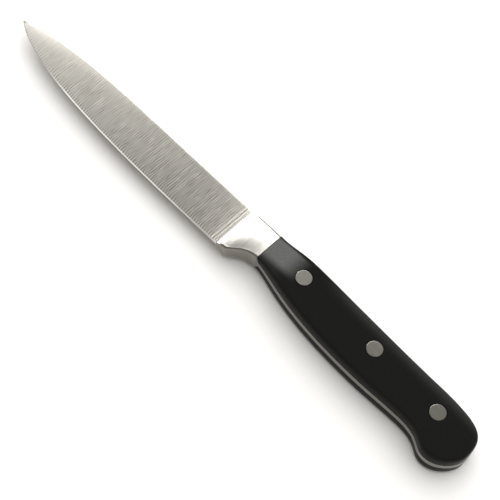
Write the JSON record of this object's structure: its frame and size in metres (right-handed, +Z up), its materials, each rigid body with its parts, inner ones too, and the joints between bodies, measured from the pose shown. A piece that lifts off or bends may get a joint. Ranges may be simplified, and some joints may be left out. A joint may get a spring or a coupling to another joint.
{
  "type": "kitchen utility knife",
  "caption": "Forged kitchen utility knife with a slim pointed blade, a hollowed bolster, a full tang and black riveted handle scales with a hooked butt.",
  "frame": {"origin": "on the surface the knife lies on, under the middle of its bounding box", "axes": "+X along the knife from the tip to the butt, +Y across it from the cutting edge to the spine, +Z up through the thickness, out of the left side"},
  "size_m": [0.2408, 0.0244, 0.0124],
  "materials": {
    "blade_steel": "ground across the blade, polished on the bolster",
    "handle_plastic": "satin black with a fine grain",
    "rivet_metal": "satin, ground flush with the scales"
  },
  "bodies": {
    "root": {"forged_blade": "blade_steel", "left_scale": "handle_plastic", "right_scale": "handle_plastic", "front_rivet_sleeve": "rivet_metal", "front_rivet_pin": "rivet_metal", "middle_rivet_sleeve": "rivet_metal", "middle_rivet_pin": "rivet_metal", "rear_rivet_sleeve": "rivet_metal", "rear_rivet_pin": "rivet_metal"}
  },
  "joints": []
}
